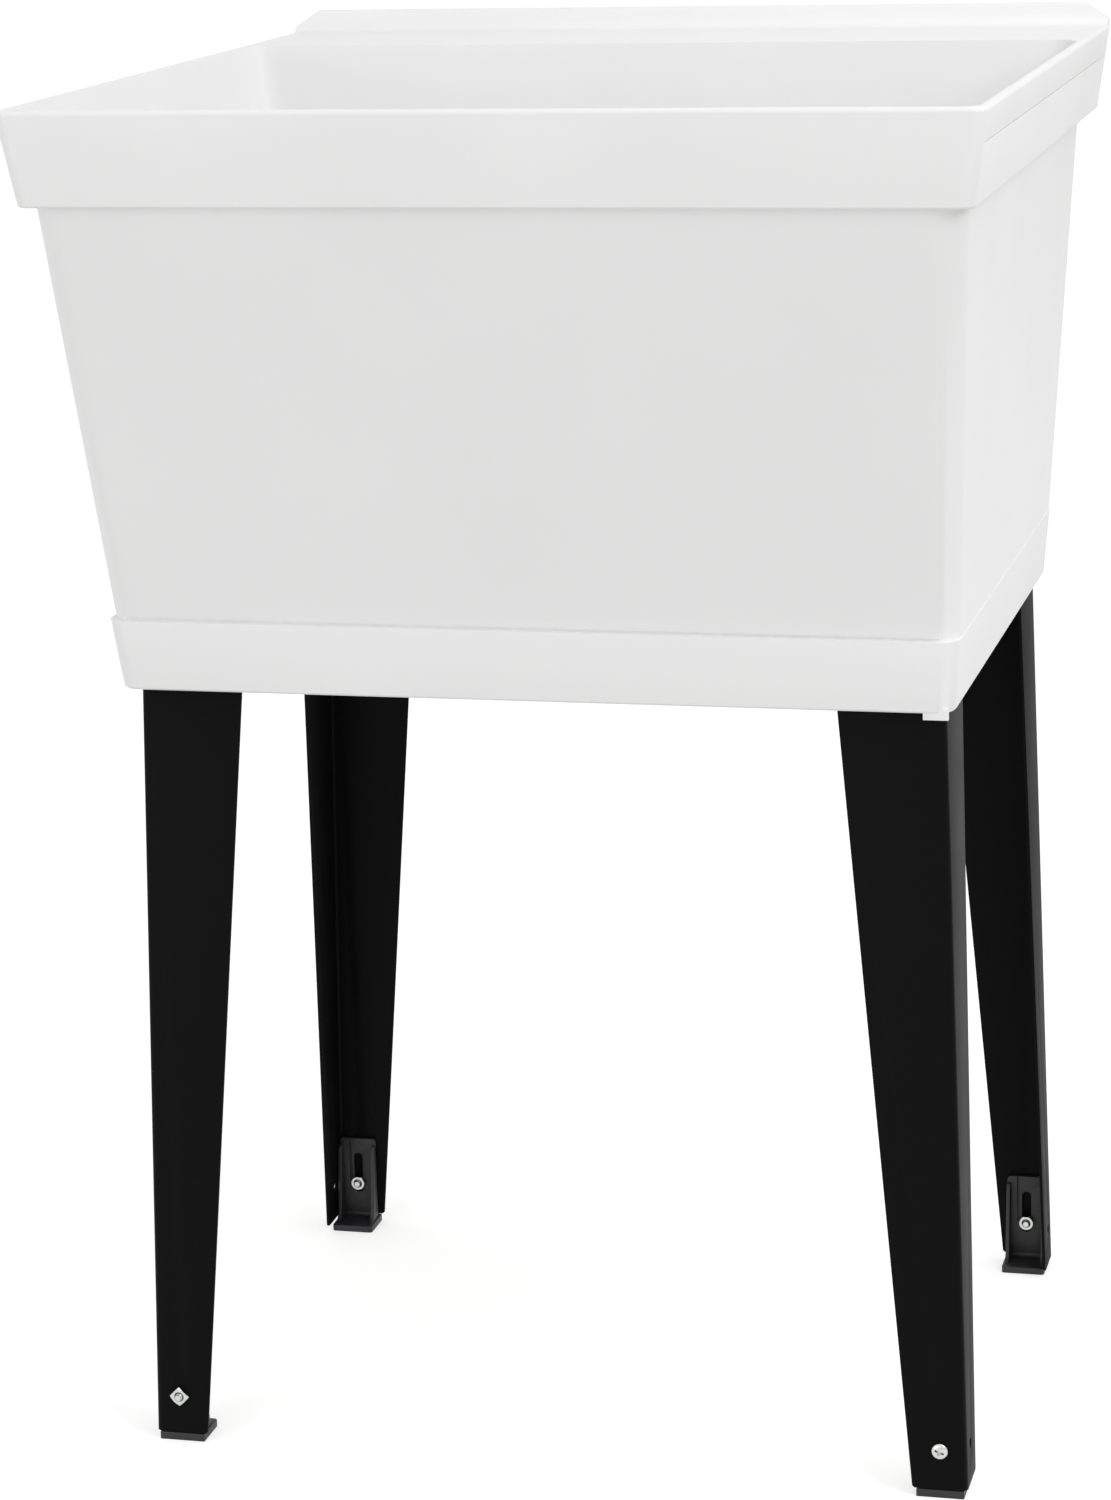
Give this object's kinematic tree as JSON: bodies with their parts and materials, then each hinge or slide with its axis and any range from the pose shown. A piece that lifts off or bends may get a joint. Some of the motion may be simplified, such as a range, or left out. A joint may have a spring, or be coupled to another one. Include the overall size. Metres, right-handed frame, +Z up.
{
  "type": "utility laundry sink",
  "caption": "Freestanding utility laundry sink: deep moulded tub with apron rim, faucet deck and low back ridge, on tapered angle legs with levelling feet.",
  "frame": {"origin": "on the floor, under the centre of the rim's rectangle", "axes": "+X to the right of someone standing at the sink, +Y towards the wall, +Z up"},
  "size_m": [0.581, 0.604, 0.879],
  "materials": {
    "tub_plastic": "satin white, fine moulded texture",
    "leg_steel": "black powder coat, low sheen",
    "foot_plastic": "dark grey moulded plastic",
    "zinc": "bright zinc plating",
    "drain_metal": "satin stainless",
    "gasket_rubber": "black rubber",
    "fibre": "pressed fibre",
    "locknut_plastic": "white moulded plastic",
    "stopper_rubber": "black rubber",
    "ring_wire": "plated wire"
  },
  "bodies": {
    "stand": {"tub": "tub_plastic", "leg_front_left": "leg_steel", "leg_front_right": "leg_steel", "leg_rear_right": "leg_steel", "leg_rear_left": "leg_steel", "foot_bolts": "zinc", "foot_nuts_front": "zinc", "foot_nuts_rear": "zinc", "drain_body": "drain_metal", "drain_gasket": "gasket_rubber", "friction_washer": "fibre", "drain_locknut": "locknut_plastic"},
    "foot_front_left": {"foot_front_left": "foot_plastic"},
    "foot_front_right": {"foot_front_right": "foot_plastic"},
    "foot_rear_right": {"foot_rear_right": "foot_plastic"},
    "foot_rear_left": {"foot_rear_left": "foot_plastic"},
    "stopper": {"stopper": "stopper_rubber", "stopper_ring": "ring_wire"}
  },
  "joints": [
    {"name": "foot_slide_front_left", "type": "slide", "parent": "stand", "child": "foot_front_left", "axis": [0, -0.0175, -0.9998], "range_m": [0, 0.019]},
    {"name": "foot_slide_front_right", "type": "slide", "parent": "stand", "child": "foot_front_right", "axis": [0, -0.0175, -0.9998], "range_m": [0, 0.019]},
    {"name": "foot_slide_rear_right", "type": "slide", "parent": "stand", "child": "foot_rear_right", "axis": [0, 0.0171, -0.9999], "range_m": [0, 0.019]},
    {"name": "foot_slide_rear_left", "type": "slide", "parent": "stand", "child": "foot_rear_left", "axis": [0, 0.0171, -0.9999], "range_m": [0, 0.019]},
    {"name": "stopper_lift", "type": "slide", "parent": "stand", "child": "stopper", "axis": [0, 0, 1], "range_m": [0, 0.4]}
  ]
}
